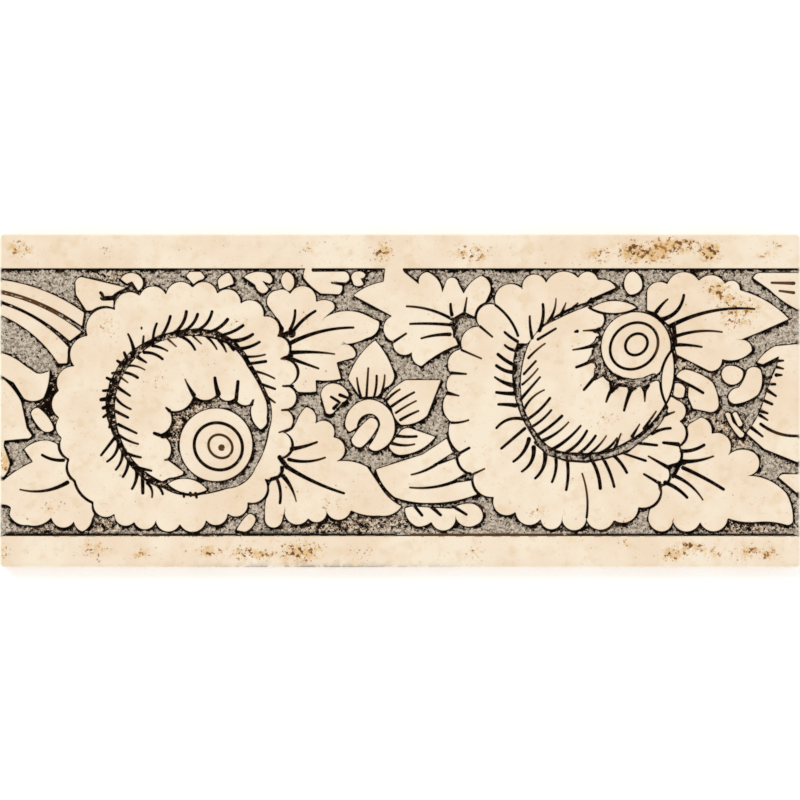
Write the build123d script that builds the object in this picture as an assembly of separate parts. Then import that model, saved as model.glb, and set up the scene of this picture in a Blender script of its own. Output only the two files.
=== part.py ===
from build123d import *
import math
import os

# A border tile of pale stone: a sawn slab with eased edges, whose face carries a band of
# flowers and leaves. A stencil keeps the flowers and leaves at the height of the face, and the
# ground round them is etched to one depth. The tile lies on its back, face up.
# The origin is the middle of the back, X runs along the border and Y across it.

# Driving dimensions, in millimetres
TILE_LENGTH = 305.0
TILE_HEIGHT = 127.0
THICKNESS = 9.5
CORNER_RADIUS = 1.5
FACE_ARRIS = 0.8
BACK_ARRIS = 0.5
TOP_MARGIN = 13.0
BOTTOM_MARGIN = 11.9
ETCH_DEPTH = 0.8
OVERLAP_GAP = 1.0
END_OVERRUN = 1.0

# The frieze is drawn for a band of this height, and scaled to the height of the tile's own band.
# What is cut off by the ends of the tile runs on to END
DRAWN_HEIGHT = 102.1
DRAWN_MIDDLE = -0.55
BAND_HEIGHT = TILE_HEIGHT - TOP_MARGIN - BOTTOM_MARGIN
BAND_MIDDLE = (BOTTOM_MARGIN - TOP_MARGIN) / 2
SCALE = BAND_HEIGHT / DRAWN_HEIGHT
END = (TILE_LENGTH / 2 + END_OVERRUN) / SCALE

# Each flower: the notches of its outer petals and the hole in which its eye stands, both as
# (bearing, radius, bulge to the next), and the furrow between its outer and inner petals, as
# corners (x, y, bulge to the next)
FLOWERS = {
    "left": {
        "centre": (-85.5, -2.5),
        "notches": [
            (82, 46, 0.7), (70, 46, 0.74), (58, 46.5, 0.74), (46, 48, 0.7), (35, 47, 0.8), (24, 44.5, 1.0),
            (11, 42.3, 1.05), (-1, 41, 0.9), (-13, 41.6, 0.8), (-26, 44, 0.72), (-39, 43.3, 0.74),
            (-53, 45.3, 0.74), (-64, 45, 0.74), (-75, 44.5, 0.76), (-88, 44.5, 0.76), (-100, 44, 0.74),
            (-110, 46.5, 0.74), (-120, 46.8, 0.74), (-131, 47.8, 0.25), (-144, 47.3, 0.4), (-154, 45, 0.45),
            (-165, 45, 0.45), (-175, 44.6, 0.55), (172, 45, 0.6), (158, 41.7, 0.62), (141, 43.3, 0.68),
            (122, 43.7, 0.74), (108, 44.6, 0.7), (95, 43, 0.68),
        ],
        "closing": [],
        "furrow": [
            (-50.4, -12.5, 0.21), (-50.3, 2, 0.05), (-61, 20.7, 0.19), (-75.1, 27.2, 0.13),
            (-91.1, 24.9, 0.12), (-104.8, 15, 0.13), (-111.6, -0.3, 0.1), (-108.3, -14.8, 0.09),
            (-99.5, -28.5, 0.16), (-90, -33.4, 0), (-90.6, -30.8, -0.13), (-102.6, -21.6, -0.13),
            (-108.3, -7.1, -0.14), (-107.1, 6.6, -0.14), (-97.2, 19.5, -0.14), (-82.7, 24.5, -0.13),
            (-68.2, 22.6, -0.2), (-58.3, 13.1, -0.07), (-51.1, -0.3, -0.1), (-50.9, -6.5, 0),
        ],
        "hole": [
            (219, 16.2, 0), (197, 19.5, -0.6), (170, 22.5, -0.6), (144, 22.5, -0.5), (114, 21.3, -0.55),
            (88, 19.8, -0.6), (68, 19.4, -0.55), (49, 21.4, -0.36), (18.8, 18.0, -0.3), (29.5, 22.9, 0),
            (19.5, 21.8, 0.12), (-30, 17.5, 0.3), (-75, 17.3, 0.08), (-118, 22.0, 0.15), (-141.1, 26.1, 0),
            (-145.9, 25.3, 0), (-144.7, 21.8, -0.1), (-139.1, 17.7, -0.5),
        ],
        "eye": {"centre": (-70.2, -16.8), "radius": 13.9},
    },
    "right": {
        "centre": (68.0, -1.0),
        "notches": [
            (72, 46.4, 0.35), (81, 47.6, 0.75), (90, 47.8, 0.55), (105, 47.5, 1.0), (116, 48.2, 0.85),
            (130, 48.9, 0.8), (142, 47.4, 0.58), (155, 48.8, 0.65), (167, 49.5, 0.4), (175, 49.6, 0.45),
            (188, 49.2, 0.35), (202, 49, 0.5), (214, 47.9, 0.55), (228, 48, 0.8), (240, 47.7, 0.74),
            (252, 46.3, 1.0), (262, 44.4, 1.02), (274, 43.6, 0.8), (287, 46.5, 0.62), (300, 45.7, 0.6),
            (315, 43.8, 0.7), (324, 41.2, 0.7), (337, 41.2, 0.6), (350, 39.1, 0.7),
        ],
        "closing": [(106.0, 0.0), (101.0, 3.0), (92.0, 20.0), (72.5, 38.8)],
        "furrow": [
            (76, 39, 0), (72, 37.8, 0.13), (53.4, 27.9, 0), (48.6, 21.8, 0), (44.6, 22, 0.09),
            (42.9, 6.6, 0.11), (48.8, -11, 0.03), (55.3, -20.5, 0.13), (78.9, -21.6, 0.14),
            (98, -10.6, 0.11), (102.5, -2.4, 0),
            (101.3, -0.8, -0.15), (86.5, -15.5, -0.17), (66.7, -19.7, -0.16), (56.4, -17.1, -0.15),
            (46.5, 0.5, -0.11), (47.7, 17.3, -0.25), (59.1, 30.6, -0.04), (72.1, 36.2, 0), (77, 36.6, 0),
        ],
        "hole": [
            (136, 17.5, -0.5), (156, 16.5, -0.55), (178, 16.8, -0.55), (198, 17.5, -0.6), (214, 18.4, -0.55),
            (240, 17.4, -0.6), (263, 16.8, -0.6), (281, 16.6, -0.6), (306, 17.5, 0.15), (362, 15, 0.3),
            (448, 14.6, 0.3),
        ],
        "eye": {"centre": (90.0, 20.6), "radius": 13.2},
    },
}

# Small petals laid over a flower, parted from it by a gap: tips as (x, y, bulge)
LAID_PETALS = {
    "left": [[(-88.6, -31.7, 0.32), (-73.6, -34.0, 0.4)]],
    "right": [
        [(73.0, 35.4, 0.24), (90.3, 35.6, 0.3)],
        [(103.7, 18.6, 0.28), (101.6, -0.5, 0.17)],
    ],
}

# Leaves, buds and fillers: corners as (x, y, bulge to the next)
MOTIFS = {
    "upper_stem": [(-END, 46.3, 0.13), (-120.5, 33.6, 0), (-121.3, 28.4, -0.11), (-END, 42.6, 0)],
    "middle_stem": [(-END, 41.0, 0.12), (-121.5, 26.2, 0), (-126.0, 22.8, -0.11), (-END, 38.6, 0)],
    "lower_stem": [
        (-END, 37.2, 0.15), (-126.5, 20.4, 0), (-127, 14.3, 0), (-130.3, 14.2, -0.16), (-END, 33.2, 0),
    ],
    "hooked_leaf": [
        (-123.9, 45.2, 0.3), (-121.5, 47.2, 0), (-104.6, 43.2, 0), (-109.2, 40.6, 0),
        (-109.4, 34.6, 0), (-119.6, 34.4, 0), (-123.6, 40.5, 0),
    ],
    "kidney_bud": [
        (-106.6, 46.4, 0.6), (-98.3, 46.2, 0.4), (-99.9, 42, 0), (-102.2, 45.6, 0), (-104.2, 44.6, 0),
    ],
    "top_diamond": [(-81.6, 47.6, 0), (-80.2, 49.2, 0), (-76, 49.2, 0), (-74.5, 47.3, 0.2), (-78.5, 44.1, 0)],
    "top_square": [(-69.6, 45.8, 0.2), (-65.4, 48.9, 0.2), (-63.5, 44.6, 0), (-69.0, 42.5, 0)],
    "comma_leaf": [
        (-59.6, 47.2, 0.25), (-51, 48.8, 0.3), (-48.7, 46.4, 0.4), (-50.0, 44.7, 0), (-52.6, 45.8, 0),
        (-50.2, 42.8, 0.35), (-52.4, 41.0, 0.3), (-55.2, 44.2, 0),
    ],
    "top_seed": [(-45.3, 45.4, 0.35), (-43.2, 49.2, 0.35), (-40.4, 45.6, 0.3), (-42.2, 41.8, 0.3)],
    "top_blade": [
        (-36.8, 47, 0.2), (-35.4, 51.5, 0), (-33.9, 51.5, 0), (-33.6, 49.2, 0), (-21.0, 49.3, 0.4),
        (-19.5, 46, 0), (-20.6, 45.1, 0), (-26.5, 45.4, 0), (-22.1, 43.9, 0.3), (-23.2, 40.6, 0),
        (-30.2, 40.9, 0.1),
    ],
    "top_bud": [
        (-18.6, 47, 0.45), (-16, 49.3, 0.3), (-13.2, 48.2, 0.45), (-15, 46.7, 0), (-13.9, 44.5, 0.35),
        (-17.6, 44.2, 0),
    ],
    "upper_leaf": [
        (-44.2, 27.6, 0), (-50.6, 36.6, 0.5), (-46.6, 42.1, 0.4), (-41.9, 40.6, 0.9), (-32.1, 37.6, 0.25),
        (-26.4, 37.9, 0.5), (-25.4, 34.6, 0), (-29.2, 31.4, 0.28), (-12.5, 32.4, 0), (-8, 30.2, 0.42),
        (-12.6, 24, 0.12), (-21.2, 21.6, 0.35), (-16.9, 18, 0.4), (-18.4, 16.2, 0), (-24.2, 14.6, 0),
        (-22.5, 8.4, 0.1), (-32.2, 7.9, 0), (-31.9, 3.5, 0.1), (-42, 4, 0), (-46, 20, 0),
    ],
    "crown_leaf": [
        (-17.8, 40.2, 0.14), (-6.2, 45.4, 0), (-5.6, 51.5, 0), (0.6, 51.5, 0), (1.4, 49.2, 0),
        (7.3, 44.4, 0.5), (10.5, 49.1, 0.3), (16.1, 41.2, 0), (17.5, 45.4, 0.8), (22.2, 44.8, 0),
        (24.3, 40.8, 0.2), (30.9, 47.7, 0.5), (33.8, 40.2, 0.08), (28.6, 32.0, 0), (24.4, 34.0, 0),
        (20.2, 31.6, 0), (20.2, 24.2, 0.2), (22.7, 21.6, -0.1), (8.2, 13.2, 0.42), (4.6, 18.6, 0.72),
        (-2.6, 22.6, 0.72), (-3.0, 32.3, 0),
    ],
    "bud_top_petal": [
        (-9.5, 23.1, 0.12), (-2.2, 9.8, 0.34), (-5.6, 5.0, 0), (-8.6, 1.7, 0), (-15.2, 1.4, 0),
        (-19.8, 8.4, 0.16),
    ],
    "bud_left_petal": [
        (-30.2, 2.2, 0.42), (-25.4, 6.6, 0.3), (-19.6, 2.4, 0.3), (-22.0, -0.6, 0), (-25.3, -4.4, 0.4),
        (-28.2, -4.6, 0),
    ],
    "bud_right_petal": [
        (-5.7, 0.8, 0.14), (2.2, 7.9, 0), (15.6, 7.9, 0), (10.4, -5.6, 0.2), (0.4, -9.2, 0.2),
        (-3.1, -2.9, 0),
    ],
    "bud_low_petal": [
        (-0.2, -12.2, 0.3), (3.6, -10.4, 0), (13.5, -13.8, 0.22), (0, -20.7, 0.3), (-4.2, -17.4, 0),
    ],
    "bud_crook": [
        (-20.9, -8.4, 0.4), (-11.2, 0.5, 0.38), (-2.0, -10, 0.32), (-8, -18.8, 0.4), (-12.0, -17.6, -0.1),
        (-7.6, -9.4, -0.4), (-11.4, -4.9, -0.42), (-16.4, -10.2, 0), (-19.2, -11.9, 0.3),
    ],
    "bud_pod": [(-18.5, -14.6, 0.1), (-11.6, -6.6, 0.7), (-8.9, -10.6, 0.1), (-14.6, -17.7, 0.5)],
    "low_leaf": [
        (-45.4, -12.2, 0), (-39.6, -8.4, 0.12), (-35.9, -2.4, 0.5), (-32.4, -8.8, 0.85), (-25.5, -14, 0.85),
        (-24.4, -23.1, 0.16), (-12.6, -25.2, 0), (-6.2, -34.8, -0.12), (0.6, -40.3, 0.3), (-8, -43.8, 0.14),
        (-18.8, -41.8, 0.75), (-28, -42.2, 0.75), (-35, -44.8, 0.82), (-44, -41.8, 0), (-45, -45.6, 0.95),
        (-51.5, -45, 0.1), (-49.6, -31.5, 0), (-46, -26, 0),
    ],
    "trumpet": [
        (-9.2, -26.2, 0), (8.6, -20.5, 0), (17.8, -14.4, 0), (19.6, -18.8, 0), (22.6, -22.0, 0),
        (23.8, -26.8, 0), (27.8, -30.6, 0), (29.8, -35.5, 0.1), (12, -39.0, 0.1), (-2.0, -36.8, 0.16),
    ],
    "oak_sprig": [
        (1.9, -41, 0.32), (6.6, -48, 0.2), (12, -46.2, 0.9), (21.2, -44.4, 0.5), (29.2, -47.2, 0.35),
        (31.6, -43.4, 0.4), (25.6, -39.2, 0.12), (19.6, -41.2, 0), (4.4, -40.3, 0),
    ],
    "bottom_seed": [(-62.4, -49.4, 0.1), (-57.8, -43.2, 0.45), (-55.1, -45.4, 0.25), (-59, -50, 0)],
    "right_seed": [(85.9, 46.6, 0.35), (89.2, 49.3, 0.35), (92.3, 43, 0.3), (87.6, 40.5, 0.35)],
    "corner_leaf": [
        (94.2, 34.6, 0), (94.3, 42, 0.5), (102, 44.4, 0.66), (114, 45.7, 0.55), (124, 44.6, 0.78),
        (129.6, 42.2, 0.14), (148.4, 31.2, 0), (137.2, 26.2, 0), (129.8, 23.2, 0.5), (134.2, 19, 0.3),
        (122.8, 15.9, 0.5), (118, 11.4, 0), (105.6, 17.6, 0), (103.2, 28.2, 0), (97.6, 33.6, 0),
    ],
    "curved_petal": [
        (105.4, 9.2, 0.3), (109, 11.9, 0.14), (119.2, 7, 0.12), (121.6, -1.4, 0.5), (117.6, -4.2, 0),
        (111.8, -3.0, 0), (109.9, 1.6, 0), (110.2, 6.6, 0),
    ],
    "tucked_petal": [(104.9, 6.6, 0.4), (108.8, 4.6, 0), (108.2, 1.4, 0.3), (104.2, 2.2, 0)],
    "round_berry": [(122.7, 10, 0.45), (126, 13.4, 0.2), (130.8, 11.4, 0.45), (127, 6.1, 0.4)],
    "bean": [
        (125.2, 1.6, 0.35), (129.2, 5.0, -0.12), (132.4, 11.6, 0.5), (137.6, 11.6, 0.22), (136.6, 2.4, 0.14),
        (128, -1.2, 0.4),
    ],
    "long_sliver": [
        (124, -5, 0.5), (125.9, -5, 0), (126.9, -8.2, 0), (131.2, -12.4, 0.7), (129.4, -13.8, 0.1),
    ],
    "short_sliver": [(126.9, -5.2, 0.6), (128.5, -4.6, 0), (130.6, -8.5, 0.7), (129.0, -9.6, 0)],
    "lower_leaf": [
        (106, -18.2, 0), (110.2, -9, 0), (114.8, -6.3, 0.42), (118.8, -12.7, 0.8), (125, -20.9, 0.3),
        (134, -19.3, 0.8), (132.6, -28.6, 0.22), (147.4, -35.4, 0.14), (149.9, -46, 0.35),
        (147.6, -47.4, -0.1), (136.6, -46.2, 0.12), (125, -44.8, 0.82), (114.5, -46.2, 0.78),
        (104, -45.4, 0.5), (99, -49.8, 0.45), (95, -43, 0), (95.6, -40.5, 0.1), (99, -34, 0), (106.8, -25, 0),
    ],
    "end_ribbon": [(134.7, 46.8, 0.35), (138, 48.8, 0), (END, 48.8, 0), (END, 34, 0.1), (141, 42.4, 0)],
    "end_flower": [
        (END, 21.8, 0), (143, 20.8, 0.14), (136.2, 14.6, 0), (138.4, 13.9, 0), (144.6, 17, -0.1),
        (141.8, 9, 0), (138, -2.4, -0.08), (132.2, -12.4, 0), (139, -18.4, 0), (END, -24.2, 0),
    ],
    "end_leaf": [(144.4, -29.2, 0.3), (147, -28, 0), (END, -28, 0), (END, -37, 0)],
    "edge_scroll": [
        (-END, 18.5, 0.14), (-143.4, 13.6, 0), (-138.6, 10.4, -0.2), (-133.7, 11.6, 0.12), (-136, 1.2, 0.3),
        (-143.4, 0.8, 0), (-147.4, 7.0, 0.1), (-END, 11.2, 0),
    ],
    "edge_leaf": [
        (-END, 10.0, 0.12), (-144.6, -0.2, 0), (-142.4, -10.4, 0), (-140.5, -13.2, 0.4), (-142.6, -14.4, 0),
        (-151, -15.2, 0), (-151.2, -17.4, 0), (-148.9, -23.6, 0.28), (-END, -30.6, 0),
    ],
    "edge_lens": [(-140.8, -5, 0.4), (-138, -2.7, 0.16), (-132, -10.6, 0.45), (-136.6, -11.2, 0.12)],
    "foot_leaf": [
        (-END, -32.6, 0.1), (-140, -23.3, 0), (-143.4, -18.5, 0.2), (-134.6, -15.1, 0.24), (-124, -24, 0),
        (-114, -38, 0), (-117.5, -45, 0.28), (-121.2, -49.9, 0.3), (-124.4, -46, 0.72), (-133, -44.5, 0.3),
        (-142, -47.4, 0.34), (-149, -43.4, 0), (-148.4, -40.8, -0.4), (-END, -40.4, 0),
    ],
}


def at(point):
    """A point of the drawn frieze, placed in the tile's band."""
    return Vector(point[0] * SCALE, BAND_MIDDLE + (point[1] - DRAWN_MIDDLE) * SCALE)


def polar(centre, bearing, radius):
    """The point of the drawn frieze at a bearing and radius from a centre."""
    turn = math.radians(bearing)
    return centre[0] + radius * math.cos(turn), centre[1] + radius * math.sin(turn)


def edge(start, end, bulge):
    """A line, or an arc whose height is the bulge times half the chord, to the right of the way."""
    if bulge == 0:
        return Edge.make_line(start, end)
    chord = end - start
    crown = (start + end) / 2 + Vector(chord.Y, -chord.X) * (bulge / 2)
    return Edge.make_three_point_arc(start, crown, end)


def outline(corners):
    """The face inside a closed run of corners (x, y, bulge); a positive bulge swells outwards."""
    places = [at(corner) for corner in corners]
    ends = places[1:] + places[:1]
    area = sum(p.X * q.Y - q.X * p.Y for p, q in zip(places, ends))
    swells = [math.copysign(1, area) * corner[2] for corner in corners]
    if len(corners) == 2:
        swells = [corner[2] for corner in corners]
    return upward(Face(Wire([edge(p, q, s) for p, q, s in zip(places, ends, swells)])))


def upward(face):
    return face if face.normal_at().Z > 0 else -face


def disc(centre, radius):
    """A round face."""
    east, west = (centre[0] + radius, centre[1]), (centre[0] - radius, centre[1])
    return outline([(*east, 1.0), (*west, 1.0)])


def lens(tips, gap):
    """A pointed petal between two tips (x, y, bulge), with a gap added all round."""
    (x0, y0, near), (x1, y1, far) = tips
    length = math.hypot(x1 - x0, y1 - y0)
    reach = 1.5 * gap / length
    dx, dy = (x1 - x0) * reach, (y1 - y0) * reach
    swells = [(bulge + 2 * gap / length) / (1 + 2 * reach) for bulge in (near, far)]
    return outline([(x0 - dx, y0 - dy, swells[0]), (x1 + dx, y1 + dy, swells[1])])


def flower_outline(flower, gap):
    """The scalloped rim, an arc from notch to notch, with a gap added outside it."""
    notches = [(*polar(flower["centre"], b, r + gap), swell) for b, r, swell in flower["notches"]]
    return outline(notches + [(x, y, 0) for x, y in flower["closing"]])


def flower_face(flower):
    """What the stencil keeps of a flower: petals round a hole, with the eye standing in it."""
    eye = flower["eye"]
    hole = outline([(*polar(eye["centre"], b, r), swell) for b, r, swell in flower["hole"]])
    petals = flower_outline(flower, 0) - [outline(flower["furrow"]), hole]
    return petals + disc(eye["centre"], eye["radius"])


def etched_ground():
    """The part of the band that the stencil leaves open."""
    band = Pos(0, BAND_MIDDLE) * Rectangle(TILE_LENGTH + 2 * END_OVERRUN, BAND_HEIGHT)
    rims = [flower_outline(flower, OVERLAP_GAP) for flower in FLOWERS.values()]
    leaves = Sketch() + [outline(corners) for corners in MOTIFS.values()]
    ground = band - (leaves - rims)
    for flower in FLOWERS.values():
        ground = ground - flower_face(flower)
    petals = [tips for group in LAID_PETALS.values() for tips in group]
    ground = ground + [lens(tips, OVERLAP_GAP) for tips in petals]
    return ground - [lens(tips, 0) for tips in petals]


def slab():
    """The sawn blank with its upright corners, face edge and back edge eased."""
    blank = Box(TILE_LENGTH, TILE_HEIGHT, THICKNESS, align=(Align.CENTER, Align.CENTER, Align.MIN))
    blank = fillet(blank.edges().filter_by(Axis.Z), CORNER_RADIUS)
    blank = chamfer(blank.faces().sort_by(Axis.Z)[-1].edges(), FACE_ARRIS)
    return chamfer(blank.faces().sort_by(Axis.Z)[0].edges(), BACK_ARRIS)


def border_tile():
    """The slab with the ground of the frieze etched into its face."""
    floor = Pos(0, 0, THICKNESS - ETCH_DEPTH) * etched_ground()
    return slab() - extrude(floor, ETCH_DEPTH + END_OVERRUN, dir=(0, 0, 1))


os.makedirs("parts", exist_ok=True)
tile = border_tile()
export_step(tile, "parts/border_tile.step")
print("solids", len(tile.solids()), "volume_cm3", round(tile.volume / 1000, 2))
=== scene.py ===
import bmesh
import bpy
import math
import random
import numpy as np
from mathutils import Matrix, Vector, noise
from mathutils.bvhtree import BVHTree
from mathutils.geometry import delaunay_2d_cdt
from mathutils.kdtree import KDTree


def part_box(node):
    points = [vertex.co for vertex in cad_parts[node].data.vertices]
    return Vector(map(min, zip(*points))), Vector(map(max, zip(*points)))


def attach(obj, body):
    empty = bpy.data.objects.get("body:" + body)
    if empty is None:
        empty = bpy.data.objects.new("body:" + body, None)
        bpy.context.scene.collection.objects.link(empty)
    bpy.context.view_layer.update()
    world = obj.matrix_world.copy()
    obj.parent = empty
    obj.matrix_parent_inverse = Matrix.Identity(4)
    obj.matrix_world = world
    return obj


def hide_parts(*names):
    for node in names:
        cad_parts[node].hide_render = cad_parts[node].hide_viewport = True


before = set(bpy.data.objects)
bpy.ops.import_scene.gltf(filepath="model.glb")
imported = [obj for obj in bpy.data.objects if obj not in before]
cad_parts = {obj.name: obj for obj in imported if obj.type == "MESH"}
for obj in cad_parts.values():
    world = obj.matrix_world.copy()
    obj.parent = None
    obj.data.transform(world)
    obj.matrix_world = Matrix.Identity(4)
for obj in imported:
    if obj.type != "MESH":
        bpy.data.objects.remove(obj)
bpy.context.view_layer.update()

MM = 0.001
random.seed(11)

# The tile's own sizes, from the CAD node
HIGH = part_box("border_tile")[1]
TOP = HIGH.z
HALF_LENGTH = HIGH.x
HALF_HEIGHT = HIGH.y
CORNER_RADIUS = 1.5 * MM
FACE_ARRIS = 0.8 * MM
ETCH_DEPTH = 0.8 * MM

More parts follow.
